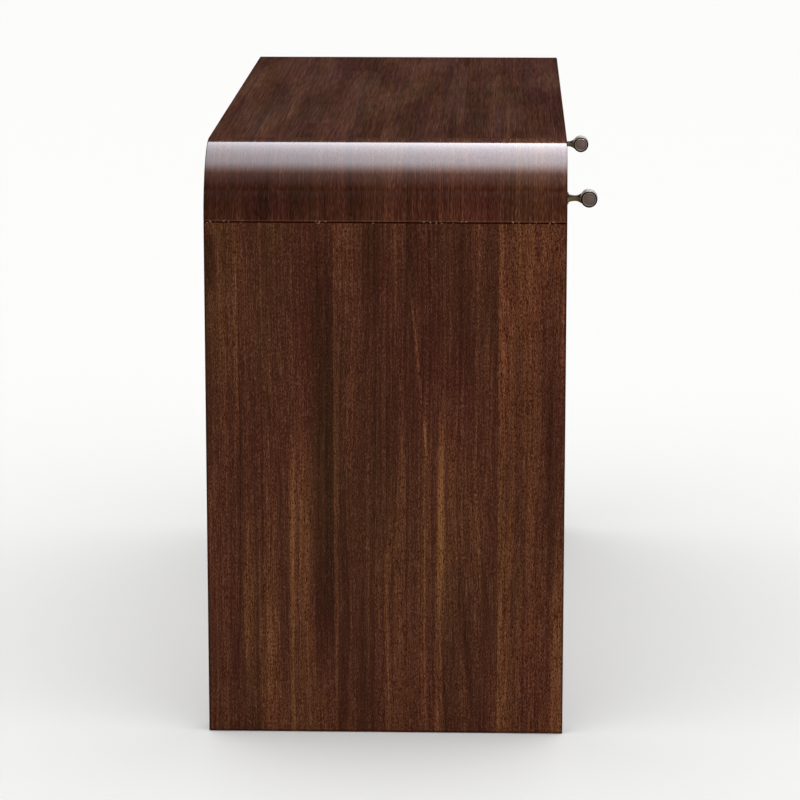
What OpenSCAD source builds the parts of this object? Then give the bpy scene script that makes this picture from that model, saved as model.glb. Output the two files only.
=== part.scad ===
// Dressing table with a waterfall case: a thick top turns down through quarter-round corners into
// slab sides, and two inset drawers with turned metal knobs hang side by side under the top.
// Origin on the floor at the middle of the whole table, knobs included. +X right, -Y front, +Z up.

/* [Table] */
// Width over the slab sides
table_w = 1100; // [900:10:1400]
// Height from the floor to the top
table_h = 750; // [700:5:800]
// Depth of the case, front to back
table_d = 450; // [420:5:560]
// Thickness of the top, corners and sides
shell_t = 30; // [26:1:40]
// Outside radius of the rounded corners
corner_r = 93; // [75:1:110]
// Radius of the eased edges
edge_r = 1.2; // [0.5:0.1:2]
// Depth of the V groove where a corner meets its side
seam_v = 0.6; // [0.3:0.1:1.2]

/* [Case] */
// Height of the drawer opening
opening_h = 149; // [140:1:190]
// Thickness of the panel under the drawers
shelf_t = 18; // [16:1:25]
// Thickness of the divider between the drawers
divider_t = 20; // [20:1:30]
// Thickness of the back panel
back_t = 12; // [10:1:18]
// Distance from the back edge in to the back panel
back_inset = 8; // [4:1:12]

/* [Case joinery] */
// Thickness of a loose tongue
tongue_t = 6; // [4:0.5:8]
// Width of a loose tongue across its joint
tongue_w = 20; // [14:1:24]
// Distance that a tongue stops short of the front and back edges
tongue_stop = 15; // [8:1:40]
// Diameter of the dowels in the panel under the drawers
shelf_dowel_d = 8; // [6:1:10]
// Length of those dowels
shelf_dowel_len = 30; // [24:1:36]
// Diameter of the dowels in the divider and back panel
thin_dowel_d = 6; // [5:1:7]
// Length of those dowels
thin_dowel_len = 20; // [16:1:24]
// Number of dowels along each end of a panel
dowel_count = 3; // [2:1:5]
// Distance from a panel's ends to its first and last dowel
dowel_margin = 45; // [30:1:70]
// Gap round a dowel or tongue
joint_gap = 0.1; // [0.05:0.05:0.2]
// Diameter of a floor glide
glide_d = 20; // [14:1:24]
// Thickness of a floor glide
glide_t = 4; // [3:0.5:6]
// Diameter of a glide's spike
spike_d = 2; // [1.5:0.1:3]
// Length of a glide's spike in the slab
spike_len = 9; // [6:0.5:15]
// How far a glide stands below the slab
glide_proud = 1; // [0.5:0.5:2]
// Distance from the slab's front and back edges to a glide's centre
glide_margin = 40; // [20:1:80]

/* [Drawer fronts] */
// Thickness of a drawer front
front_t = 20; // [16:1:24]
// Gap all round a drawer front
reveal = 2; // [1:0.5:3]

/* [Drawer boxes] */
// Height of a drawer box
box_h = 105; // [90:1:110]
// Space under a drawer box
box_lift = 10; // [6:1:16]
// Thickness of the sides, box front and back
wall_t = 12; // [11:0.5:16]
// Thickness of the drawer bottom
floor_t = 6; // [4:0.5:8]
// Height of the drawer bottom above the box's lower edge
floor_lift = 8; // [6:1:14]
// Play of the drawer bottom in its groove
floor_play = 0.3; // [0.2:0.1:0.6]
// Depth of the groove that holds the drawer bottom
groove_depth = 6; // [4:0.5:8]
// How much shorter a drawer box is than its slides
box_short = 10; // [5:1:30]

/* [Dovetails] */
// Number of tails at each corner
tail_count = 3; // [2:1:5]
// Share of a tail's pitch that its wide end takes
tail_fill = 0.7; // [0.6:0.05:0.8]
// How far each side of a tail slopes over the board's thickness
tail_slope = 2; // [1:0.25:3]

/* [Slides] */
// Height of a slide
slide_h = 45; // [42:1:50]
// Thickness of a closed slide
slide_w = 12.7; // [12.5:0.1:14]
// Thickness of the slide's webs
web_t = 1.2; // [1:0.1:1.5]
// Thickness of the outer and inner flanges
flange_t = 1.5; // [1.3:0.1:1.8]
// Thickness of the middle flange, which has a ball track on both faces
middle_flange_t = 2; // [1.8:0.1:2.4]
// Diameter of a ball
ball_d = 4; // [3.5:0.1:4.2]
// Gap between a ball and its track
ball_gap = 0.12; // [0.05:0.01:0.2]
// Depth of a ball track in its flange
track_depth = 0.5; // [0.3:0.1:0.6]
// Number of balls along each track of a cage
ball_count = 5; // [3:1:8]
// Thickness of a cage's web
cage_web_t = 0.6; // [0.4:0.1:0.8]
// Thickness of a cage's ball strips
cage_strip_t = 0.8; // [0.6:0.1:1]
// Steps in which slides are sold
slide_step = 50; // [25:25:50]
// Length of slide that stays engaged at full extension
slide_keep = 50; // [40:5:120]
// Distance from the drawer front's back face to the slides
slide_setback = 2; // [1:0.5:4]
// Gap between the webs of a slide that pass each other
web_gap = 0.4; // [0.3:0.05:0.6]
// Distance that a cage stops short of the overlap of its members, at both ends together
cage_short = 15; // [5:1:40]
// Gap between a member and its stop
stop_gap = 0.5; // [0.3:0.1:1]

/* [Screws] */
// Diameter of a slide screw's shank
slide_screw_d = 3.5; // [3:0.1:4]
// Length of a slide screw in the wood
slide_screw_grip = 9; // [7:0.5:9.5]
// Diameter of a slide screw's head
slide_screw_head_d = 7; // [6:0.1:8]
// Thickness of a slide screw's head
slide_screw_head_t = 1.4; // [1:0.1:1.6]
// Distance from a slide's ends to its first and last screw
slide_screw_margin = 30; // [20:1:60]
// Diameter of the screws that hold a front to its box
front_screw_d = 4; // [3.5:0.1:4.5]
// Length of a front screw in the drawer front
front_screw_grip = 14; // [10:1:15]
// Diameter of a front screw's head, and of a knob bolt's
front_screw_head_d = 8.4; // [7.5:0.1:10]
// Thickness of those heads
front_screw_head_t = 2.4; // [1.8:0.1:3]
// Distance from a box front's ends to its screws
front_screw_margin = 60; // [40:1:120]
// Distance from the box front's lower and upper edges to its screws
front_screw_edge = 24; // [15:1:35]

/* [Knobs] */
// Distance that a knob stands out from its drawer front
knob_len = 44.3; // [41:0.1:50]
// Diameter of a knob's head, a barrel that lies crosswise, at its middle
knob_d = 22.2; // [21.8:0.1:25]
// Diameter of the head at its two ends
knob_end_d = 21.4; // [19:0.1:21.6]
// Length of the head from end to end
knob_w = 25.6; // [20:0.1:40]
// Length over which the head narrows towards each end
knob_taper = 7; // [2:0.5:9]
// Radius of the rounded edge round each end of the head
knob_edge_r = 0.9; // [0.4:0.1:1.2]
// Width of the rim that stands round each end
knob_rim_w = 1.3; // [1.2:0.1:2]
// Depth of the cup inside that rim
cup_depth = 0.9; // [0.5:0.1:1.5]
// Radius of the bead inside the rim
bead_r = 0.8; // [0.5:0.1:1]
// Gap between the rim and the bead
bead_gap = 0.5; // [0.2:0.1:1]
// Diameter of the domed button inside the bead
button_d = 12.4; // [8:0.1:13]
// Smallest diameter of the neck
neck_d = 7.5; // [6.8:0.1:8.5]
// Radius of the neck's hollow on the rosette's side
neck_foot_r = 24; // [18:1:40]
// Radius of the neck's hollow on the head's side
neck_flare_r = 10.5; // [8:0.5:14]
// Half angle of the cone that widens the neck into the head
flare_turn = 30; // [28:1:45]
// Depth that the cone's end lies under the head's skin
flare_sink = 0.3; // [0.2:0.1:1]
// Distance of the groove round the rosette from the drawer front
rosette_groove_y = 2.3; // [1.5:0.1:4]
// Radius of that groove
rosette_groove_r = 0.5; // [0.3:0.1:0.8]
// Diameter of the rosette
rosette_d = 15.8; // [14:0.1:22]
// Thickness of the rosette
rosette_h = 6.4; // [4:0.1:8]
// Radius of the rosette's rounded edges
rosette_edge = 1.2; // [0.5:0.1:2]
// Diameter of the knob's machine screw
bolt_d = 4; // [3.5:0.1:4.2]
// Depth to which that screw enters the knob
bolt_grip = 10; // [6:0.5:11]
// Room past the screw's end in the knob
bolt_room = 2; // [1:0.5:2]
// Gap round a screw or bolt in a hole that it passes
screw_gap = 0.25; // [0.1:0.05:0.4]
// Gap round a screw or bolt in the hole that it bites in
bite_gap = 0.05; // [0.02:0.01:0.1]

/* [Hidden] */
$fn = 96;
// Cut past a face, so that no skin is left on it
over = 1;
walnut = "#4a2a1c";
ash = "#c9a77c";
beech = "#c89b6c";
steel = "#b8bcc0";
bronze = "#5b4632";
nylon = "#2b2622";

// Planes of the case
y_front = (knob_len - table_d) / 2;
y_back = y_front + table_d;
inner_x = table_w / 2 - shell_t;
corner_x = table_w / 2 - corner_r;
seam_z = table_h - corner_r;
under_top_z = table_h - shell_t;
inner_r = corner_r - shell_t;
shelf_top_z = under_top_z - opening_h;
shelf_z = shelf_top_z - shelf_t;
back_y = y_back - back_inset - back_t;
tongue_len = table_d - 2 * tongue_stop;
case_depth = back_y - y_front;
dowel_step = (case_depth - 2 * dowel_margin) / (dowel_count - 1);
dowel_ys = [for (i = [0 : dowel_count - 1]) y_front + dowel_margin + i * dowel_step];
back_dowel_span = seam_z - shelf_top_z;
back_dowel_zs = [for (share = [0.25, 0.75]) shelf_top_z + share * back_dowel_span];

// Drawer, drawn on the right and mirrored for the left
front_x0 = divider_t / 2 + reveal;
front_x1 = inner_x - reveal;
front_z0 = shelf_top_z + reveal;
front_z1 = under_top_z - reveal;
knob_x = (front_x0 + front_x1) / 2;
knob_z = (front_z0 + front_z1) / 2;
box_y = y_front + front_t;
slide_y = box_y + slide_setback;
slide_len = floor((back_y - slide_y) / slide_step) * slide_step;
travel = slide_len - slide_keep;
box_d = slide_len - box_short + slide_setback;
box_x0 = divider_t / 2 + slide_w;
box_x1 = inner_x - slide_w;
box_z = shelf_top_z + box_lift;
slide_z = box_z + box_h / 2;
tail_pitch = box_h / tail_count;
tail_end_w = tail_pitch * tail_fill;
tail_root_w = tail_end_w - 2 * tail_slope;
front_screw_zs = [box_z + front_screw_edge, box_z + box_h - front_screw_edge];
front_screw_xs = [box_x0 + front_screw_margin, box_x1 - front_screw_margin];

// Slide section: u across from the case wall, v up from the slide's middle
ball_r = ball_d / 2;
track_r = ball_r + ball_gap;
cage_u = web_t + slide_screw_head_t + web_gap;
middle_u = cage_u + cage_web_t + web_gap;
inner_cage_u = middle_u + web_t + web_gap;
drawer_flange_u = inner_cage_u + cage_web_t + web_gap;
ball_u = (drawer_flange_u + slide_w - web_t - web_gap) / 2;
rail_reach = ball_u + track_r;
cage_reach = rail_reach + cage_web_t;
outer_ball_v = slide_h / 2 - flange_t + track_depth - track_r;
middle_v = outer_ball_v - track_r + track_depth;
inner_ball_v = middle_v - middle_flange_t + track_depth - track_r;
drawer_member_v = inner_ball_v - track_r + track_depth;
stop_tab_t = web_t;
stop_tab_h = slide_h / 3;
member_len = slide_len - stop_tab_t - stop_gap;
cage_len = member_len - travel / 2 - cage_short;
cage_y = travel / 4 + cage_short / 2;
ball_step = cage_len / ball_count;
slide_screw_span = slide_len - 2 * slide_screw_margin;
slide_screw_ys = [for (i = [0 : 2]) slide_screw_margin + i * slide_screw_span / 2];
access_slot_w = slide_screw_head_d + 2;
access_slot_len = 2 * slide_screw_head_d;

// Knob, measured out from the drawer front
head_mid = knob_len - knob_d / 2;
neck_r = neck_d / 2;
cone_r = knob_d / 2 - flare_sink;
cone_end = [cone_r * cos(flare_turn), head_mid - cone_r * sin(flare_turn)];
cone_rise = cone_end[0] - neck_r - neck_flare_r * (1 - cos(flare_turn));
cone_start_y = cone_end[1] - cone_rise / tan(flare_turn);
neck_y = cone_start_y - neck_flare_r * sin(flare_turn);
bolt_len = wall_t + front_t + rosette_h + bolt_grip;

// Draws the right-hand piece as it is, or mirrored for the left
module handed(side) {
    mirror([side < 0 ? 1 : 0, 0, 0]) children();
}

// Stands a flat section in XZ and runs it back along Y
module along_y(length) {
    translate([0, length, 0]) rotate([90, 0, 0]) linear_extrude(length) children();
}

// Stands a flat section, drawn as (y, z), and runs it along X
module along_x(length) {
    rotate([90, 0, 90]) linear_extrude(length) children();
}

// What is left of a square corner outside a round one
module spandrel(r) {
    difference() {
        translate([-over, -over]) square(r + over);
        translate([r, r]) circle(r);
    }
}

// Board section: thickness across x, case depth along y, with the two edges at x = 0 eased
module shell_section() {
    difference() {
        translate([0, y_front]) square([shell_t, table_d]);
        translate([0, y_front]) spandrel(edge_r);
        translate([0, y_back]) mirror([0, 1]) spandrel(edge_r);
    }
}

module tongue_at_top(gap) {
    size = [tongue_w + 2 * gap, tongue_len + 2 * gap, tongue_t + 2 * gap];
    translate([corner_x, (y_front + y_back) / 2, table_h - shell_t / 2]) cube(size, center = true);
}

module tongue_at_seam(gap) {
    size = [tongue_t + 2 * gap, tongue_len + 2 * gap, tongue_w + 2 * gap];
    x = table_w / 2 - shell_t / 2;
    translate([x, (y_front + y_back) / 2, seam_z]) cube(size, center = true);
}

// V groove round the outer, front and back faces at the seam
module seam_groove() {
    v = seam_v * sqrt(2);
    translate([table_w / 2, y_front - over, seam_z]) rotate([0, 45, 0])
        translate([-v / 2, 0, -v / 2]) cube([v, table_d + 2 * over, v]);
    for (y = [y_front, y_back])
        translate([inner_x - over, y, seam_z]) rotate([45, 0, 0])
            translate([0, -v / 2, -v / 2]) cube([shell_t + 2 * over, v, v]);
}

module shelf_dowel(gap) {
    for (y = dowel_ys)
        translate([inner_x, y, shelf_z + shelf_t / 2]) rotate([0, 90, 0])
            cylinder(d = shelf_dowel_d + 2 * gap, h = shelf_dowel_len + 4 * gap, center = true);
}

module back_dowel(gap) {
    for (z = back_dowel_zs)
        translate([inner_x, back_y + back_t / 2, z]) rotate([0, 90, 0])
            cylinder(d = thin_dowel_d + 2 * gap, h = thin_dowel_len + 4 * gap, center = true);
}

module divider_dowel(gap) {
    for (y = dowel_ys, z = [shelf_top_z, under_top_z])
        translate([0, y, z])
            cylinder(d = thin_dowel_d + 2 * gap, h = thin_dowel_len + 4 * gap, center = true);
}

module glides(gap) {
    x = table_w / 2 - shell_t / 2;
    for (y = [y_front + glide_margin, y_back - glide_margin]) {
        translate([x, y, 0]) cylinder(d = glide_d + 2 * gap, h = glide_t + gap);
        translate([x, y, 0]) cylinder(d = spike_d + 2 * gap, h = glide_t + spike_len + gap);
    }
}

// Screws of one slide, pointing into the wood at u = 0, with the head towards +u
module slide_screw_row(shank_gap, head) {
    for (y = slide_screw_ys) translate([0, y, 0]) rotate([0, 90, 0]) {
        reach = slide_screw_grip + 2 * shank_gap;
        translate([0, 0, -reach]) cylinder(d = slide_screw_d + 2 * shank_gap, h = reach + web_t);
        if (head) translate([0, 0, web_t]) cylinder(d = slide_screw_head_d, h = slide_screw_head_t);
    }
}

// Puts a slide part, drawn from its wall at u = 0, on the outer or the inner wall of the right bay
module on_wall(outer) {
    x = outer ? inner_x : divider_t / 2;
    translate([x, slide_y, slide_z]) mirror([outer ? 1 : 0, 0, 0]) children();
}

// Screws that go through the drawer member into the box, drawn in the slide's own place
module drawer_screw_row(shank_gap, head) {
    translate([slide_w, 0, 0]) mirror([1, 0, 0]) slide_screw_row(shank_gap, head);
}

module top_panel() {
    color(walnut) difference() {
        translate([-corner_x, 0, table_h]) rotate([0, 90, 0]) linear_extrude(2 * corner_x) shell_section();
        for (side = [-1, 1]) handed(side) tongue_at_top(joint_gap);
        divider_dowel(joint_gap);
    }
}

module corner(side) {
    color(walnut) handed(side) difference() {
        translate([corner_x, 0, seam_z]) rotate([90, 0, 0]) mirror([0, 0, 1])
            quarter_turn();
        tongue_at_top(joint_gap);
        tongue_at_seam(joint_gap);
        seam_groove();
    }
}

// The board section swept through a quarter circle, standing along Z
module quarter_turn() {
    rotate_extrude(angle = 90) translate([corner_r, 0]) mirror([1, 0]) shell_section();
}

module side_slab(side) {
    color(walnut) handed(side) difference() {
        translate([table_w / 2, 0, glide_proud]) mirror([1, 0, 0])
            linear_extrude(seam_z - glide_proud) shell_section();
        tongue_at_seam(joint_gap);
        seam_groove();
        shelf_dowel(joint_gap);
        back_dowel(joint_gap);
        glides(joint_gap);
        on_wall(true) slide_screw_row(bite_gap, false);
    }
}

module corner_tongues() {
    color(beech) for (side = [-1, 1]) handed(side) {
        tongue_at_top(0);
        tongue_at_seam(0);
    }
}

// Section of the panel under the drawers: its front edges are eased
module shelf_section() {
    difference() {
        translate([y_front, 0]) square([case_depth + back_t, shelf_t]);
        translate([y_front, 0]) spandrel(edge_r);
        translate([y_front, shelf_t]) mirror([0, 1]) spandrel(edge_r);
    }
}

module shelf_panel() {
    color(walnut) difference() {
        translate([-inner_x, 0, shelf_z]) along_x(2 * inner_x) shelf_section();
        for (side = [-1, 1]) handed(side) shelf_dowel(joint_gap);
        divider_dowel(joint_gap);
    }
}

// Half of the drawer space as seen from the front, with its upper corner rounded
module bay_outline(x0, x1, z0, z1, r) {
    translate([x0, z0]) square([x1 - r - x0, z1 - z0]);
    translate([x0, z0]) square([x1 - x0, z1 - r - z0]);
    translate([x1 - r, z1 - r]) circle(r);
}

module back_panel() {
    color(walnut) difference() {
        translate([0, back_y, 0]) along_y(back_t) for (side = [0, 1]) mirror([side, 0])
            bay_outline(-over, inner_x, shelf_top_z, under_top_z, inner_r);
        for (side = [-1, 1]) handed(side) back_dowel(joint_gap);
    }
}

module divider() {
    color(walnut) difference() {
        translate([-divider_t / 2, y_front, shelf_top_z]) cube([divider_t, case_depth, opening_h]);
        divider_dowel(joint_gap);
        for (side = [-1, 1]) handed(side) on_wall(false) slide_screw_row(bite_gap, false);
    }
}

module case_dowels() {
    color(beech) {
        for (side = [-1, 1]) handed(side) {
            shelf_dowel(0);
            back_dowel(0);
        }
        divider_dowel(0);
    }
}

module floor_glides() {
    color(nylon) for (side = [-1, 1]) handed(side) glides(0);
}

module drawer_front(side) {
    r = inner_r - reveal;
    color(walnut) handed(side) difference() {
        translate([0, y_front, 0]) along_y(front_t)
            bay_outline(front_x0, front_x1, front_z0, front_z1, r);
        translate([front_x0 - over, y_front, 0]) along_x(front_x1 - front_x0 + 2 * over) {
            translate([0, front_z0]) spandrel(edge_r);
            translate([0, front_z1]) mirror([0, 1]) spandrel(edge_r);
        }
        translate([0, y_front, front_z0 - over]) linear_extrude(front_z1 - front_z0 + 2 * over) {
            translate([front_x0, 0]) spandrel(edge_r);
            translate([front_x1, 0]) mirror([1, 0]) spandrel(edge_r);
        }
        translate([front_x1 - r, y_front, front_z1 - r]) rotate([90, 0, 0]) mirror([0, 0, 1])
            rotate_extrude(angle = 90) translate([r, 0]) mirror([1, 0]) spandrel(edge_r);
        front_screws(bite_gap, bite_gap, false);
        knob_axis() cylinder(d = bolt_d + 2 * screw_gap, h = 2 * front_t, center = true);
    }
}

// The knob's axis, pointing out of the drawer front from its face
module knob_axis() {
    translate([knob_x, y_front, knob_z]) rotate([90, 0, 0]) children();
}

// The screws that hold the front, drawn from inside the box
module front_screws(gap, end_gap, head) {
    for (x = front_screw_xs, z = front_screw_zs)
        translate([x, box_y + wall_t, z]) rotate([90, 0, 0]) {
            cylinder(d = front_screw_d + 2 * gap, h = wall_t + front_screw_grip + 2 * end_gap);
            if (head) translate([0, 0, -front_screw_head_t])
                cylinder(d = front_screw_head_d, h = front_screw_head_t);
        }
}

// The drawer bottom, or with floor_play the grooves that give it room to move
module floor_space(play) {
    inset = wall_t - groove_depth + floor_play - play;
    size = [box_x1 - box_x0 - 2 * inset, box_d - 2 * inset, floor_t + play];
    translate([box_x0 + inset, box_y + inset, box_z + floor_lift - play / 2]) cube(size);
}

// Tails at one corner of a box, seen on the outer wall: y runs in from the end of the board
module tails(gap) {
    for (i = [0 : tail_count - 1]) {
        mid = (i + 0.5) * tail_pitch;
        end_w = tail_end_w / 2 + gap;
        root_w = tail_root_w / 2 + gap;
        polygon([
            [0, mid - end_w], [wall_t, mid - root_w], [wall_t + gap, mid - root_w],
            [wall_t + gap, mid + root_w], [wall_t, mid + root_w], [0, mid + end_w]
        ]);
    }
}

// Tails at the front and back ends of a wall, run through its thickness from x
module wall_tails(x, gap) {
    for (end = [0, 1])
        translate([x - gap, box_y + end * box_d, box_z]) mirror([0, end, 0])
            along_x(wall_t + 2 * gap) tails(gap);
}

module box_wall(side, outer) {
    x = outer ? box_x1 - wall_t : box_x0;
    color(ash) handed(side) difference() {
        union() {
            translate([x, box_y + wall_t, box_z]) cube([wall_t, box_d - 2 * wall_t, box_h]);
            wall_tails(x, 0);
        }
        floor_space(floor_play);
        on_wall(outer) drawer_screw_row(bite_gap, false);
    }
}

// Box front or back: a full-width board with the tails' sockets cut out of its ends
module box_cross_board(y) {
    difference() {
        translate([box_x0, y, box_z]) cube([box_x1 - box_x0, wall_t, box_h]);
        wall_tails(box_x0, joint_gap);
        wall_tails(box_x1 - wall_t, joint_gap);
        floor_space(floor_play);
    }
}

module box_front(side) {
    color(ash) handed(side) difference() {
        box_cross_board(box_y);
        front_screws(screw_gap, 0, false);
        knob_axis() translate([0, 0, -front_t - wall_t - over])
            cylinder(d = bolt_d + 2 * screw_gap, h = wall_t + 2 * over);
    }
}

module box_back(side) {
    color(ash) handed(side) box_cross_board(box_y + box_d - wall_t);
}

module drawer_floor(side) {
    color(beech) handed(side) floor_space(0);
}

// Half section of the head: x is the radius, y the distance along its axis from the middle to an end
module head_section() {
    cup_r = knob_end_d / 2 - knob_rim_w;
    cup_y = knob_w / 2 - cup_depth;
    dome_r = (pow(button_d / 2, 2) + pow(cup_depth, 2)) / (2 * cup_depth);
    difference() {
        polygon([
            [0, 0], [knob_d / 2, 0], [knob_d / 2, knob_w / 2 - knob_taper],
            [knob_end_d / 2, knob_w / 2], [0, knob_w / 2]
        ]);
        translate([knob_end_d / 2, knob_w / 2]) mirror([1, 0]) mirror([0, 1]) spandrel(knob_edge_r);
        translate([-over, cup_y]) square([over + cup_r, over + cup_depth]);
    }
    translate([cup_r - bead_gap - bead_r, cup_y]) circle(bead_r);
    intersection() {
        translate([0, knob_w / 2 - dome_r]) circle(dome_r, $fn = 360);
        translate([0, cup_y - over]) square([button_d / 2, over + cup_depth]);
    }
}

// Half section of the neck: x is the radius, y the distance out from the drawer front
module neck_section() {
    foot_r = neck_r + neck_foot_r - sqrt(pow(neck_foot_r, 2) - pow(neck_y - rosette_h, 2));
    flare_r = neck_r + neck_flare_r * (1 - cos(flare_turn));
    difference() {
        polygon([
            [0, rosette_h], [foot_r, rosette_h], [foot_r, neck_y], [flare_r, neck_y],
            [flare_r, cone_start_y], cone_end, [0, cone_end[1]]
        ]);
        neck_cut(neck_foot_r, rosette_h - over, neck_y);
        neck_cut(neck_flare_r, neck_y, cone_start_y);
    }
}

// Round hollow in the neck between two distances from the drawer front
module neck_cut(r, from, to) {
    intersection() {
        translate([neck_r + r, neck_y]) circle(r);
        translate([0, from]) square([2 * r, to - from]);
    }
}

// Knob: a neck that flares into a barrel, which has a rim, a bead and a domed button in each end
module knob(side) {
    color(bronze) handed(side) knob_axis() difference() {
        union() {
            rotate_extrude() neck_section();
            translate([0, 0, head_mid]) rotate([0, 90, 0]) rotate_extrude() {
                head_section();
                mirror([0, 1]) head_section();
            }
        }
        translate([0, 0, rosette_h - over])
            cylinder(d = bolt_d + 2 * bite_gap, h = over + bolt_grip + bolt_room);
    }
}

// Rosette: a turned drum with rounded edges and a fine groove round it
module rosette(side) {
    r = rosette_d / 2;
    color(bronze) handed(side) knob_axis() difference() {
        rotate_extrude() difference() {
            square([r, rosette_h]);
            translate([r, 0]) mirror([1, 0]) spandrel(rosette_edge / 2);
            translate([r, rosette_h]) mirror([1, 0]) mirror([0, 1]) spandrel(rosette_edge);
            translate([r, rosette_groove_y]) circle(rosette_groove_r);
        }
        cylinder(d = bolt_d + 2 * screw_gap, h = 3 * rosette_h, center = true);
    }
}

module knob_bolt(side) {
    color(steel) handed(side) knob_axis() translate([0, 0, -front_t - wall_t]) {
        cylinder(d = bolt_d, h = bolt_len);
        translate([0, 0, -front_screw_head_t]) cylinder(d = front_screw_head_d, h = front_screw_head_t);
    }
}

module front_screw_set(side) {
    color(steel) handed(side) front_screws(0, 0, true);
}

// A channel with its web at u and its flanges at +v and -v
module channel(u, reach, v, web, flange) {
    difference() {
        translate([u, -v]) square([reach - u, 2 * v]);
        translate([u + web, flange - v]) square([reach - u, 2 * (v - flange)]);
    }
}

// The round tracks that the balls run in
module tracks(v) {
    for (way = [-1, 1]) translate([ball_u, way * v]) circle(track_r);
}

module case_member(side, outer) {
    color(steel) handed(side) on_wall(outer) difference() {
        union() {
            along_y(slide_len) difference() {
                channel(0, rail_reach, slide_h / 2, web_t, flange_t);
                tracks(outer_ball_v);
            }
            translate([0, slide_len - stop_tab_t, -stop_tab_h / 2])
                cube([rail_reach, stop_tab_t, stop_tab_h]);
        }
        slide_screw_row(screw_gap, false);
    }
}

module middle_member(side, outer) {
    color(steel) handed(side) on_wall(outer) difference() {
        along_y(member_len) difference() {
            channel(middle_u, rail_reach, middle_v, web_t, middle_flange_t);
            tracks(outer_ball_v);
            tracks(inner_ball_v);
        }
        for (y = slide_screw_ys)
            translate([middle_u - over, y - access_slot_len / 2, -access_slot_w / 2])
                cube([web_t + 2 * over, access_slot_len, access_slot_w]);
    }
}

module drawer_member(side, outer) {
    color(steel) handed(side) on_wall(outer) difference() {
        along_y(member_len) difference() {
            translate([slide_w, 0]) mirror([1, 0])
                channel(0, slide_w - drawer_flange_u, drawer_member_v, web_t, flange_t);
            tracks(inner_ball_v);
        }
        drawer_screw_row(screw_gap, false);
    }
}

// Cage: a thin web with two strips that hold the balls of one pair of tracks
module cages(side, u, v) {
    color(steel) handed(side) for (outer = [false, true]) on_wall(outer) translate([0, cage_y, 0])
        difference() {
            along_y(cage_len)
                channel(u, cage_reach, v + cage_strip_t / 2, cage_web_t, cage_strip_t);
            for (i = [0 : ball_count - 1])
                translate([ball_u, (i + 0.5) * ball_step, 0])
                    cylinder(r = track_r, h = slide_h, center = true);
        }
}

module balls(side, v) {
    color(steel) handed(side) for (outer = [false, true]) on_wall(outer) translate([0, cage_y, 0])
        for (i = [0 : ball_count - 1], way = [-1, 1])
            translate([ball_u, (i + 0.5) * ball_step, way * v]) sphere(ball_r);
}

module case_slide_screws(side) {
    color(steel) handed(side) for (outer = [false, true]) on_wall(outer) slide_screw_row(0, true);
}

module drawer_slide_screws(side) {
    color(steel) handed(side) for (outer = [false, true]) on_wall(outer) drawer_screw_row(0, true);
}

top_panel();
corner(-1);  // corner_left
corner(1);  // corner_right
side_slab(-1);  // side_left
side_slab(1);  // side_right
corner_tongues();
shelf_panel();
back_panel();
divider();
case_dowels();
floor_glides();
drawer_front(-1);  // front_left
drawer_front(1);  // front_right
box_front(-1);  // box_front_left
box_front(1);  // box_front_right
box_wall(-1, true);  // outer_wall_left
box_wall(1, true);  // outer_wall_right
box_wall(-1, false);  // inner_wall_left
box_wall(1, false);  // inner_wall_right
box_back(-1);  // box_back_left
box_back(1);  // box_back_right
drawer_floor(-1);  // drawer_floor_left
drawer_floor(1);  // drawer_floor_right
knob(-1);  // knob_left
knob(1);  // knob_right
rosette(-1);  // rosette_left
rosette(1);  // rosette_right
knob_bolt(-1);  // knob_bolt_left
knob_bolt(1);  // knob_bolt_right
front_screw_set(-1);  // front_screws_left
front_screw_set(1);  // front_screws_right
case_member(-1, true);  // case_member_left_outer
case_member(-1, false);  // case_member_left_inner
case_member(1, true);  // case_member_right_outer
case_member(1, false);  // case_member_right_inner
middle_member(-1, true);  // middle_member_left_outer
middle_member(-1, false);  // middle_member_left_inner
middle_member(1, true);  // middle_member_right_outer
middle_member(1, false);  // middle_member_right_inner
drawer_member(-1, true);  // drawer_member_left_outer
drawer_member(-1, false);  // drawer_member_left_inner
drawer_member(1, true);  // drawer_member_right_outer
drawer_member(1, false);  // drawer_member_right_inner
cages(-1, cage_u, outer_ball_v);  // outer_cages_left
cages(1, cage_u, outer_ball_v);  // outer_cages_right
cages(-1, inner_cage_u, inner_ball_v);  // inner_cages_left
cages(1, inner_cage_u, inner_ball_v);  // inner_cages_right
balls(-1, outer_ball_v);  // outer_balls_left
balls(1, outer_ball_v);  // outer_balls_right
balls(-1, inner_ball_v);  // inner_balls_left
balls(1, inner_ball_v);  // inner_balls_right
case_slide_screws(-1);  // case_slide_screws_left
case_slide_screws(1);  // case_slide_screws_right
drawer_slide_screws(-1);  // drawer_slide_screws_left
drawer_slide_screws(1);  // drawer_slide_screws_right
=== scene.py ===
# A walnut dressing table with a waterfall case and two drawers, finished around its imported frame.
import math
from collections import namedtuple

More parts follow.
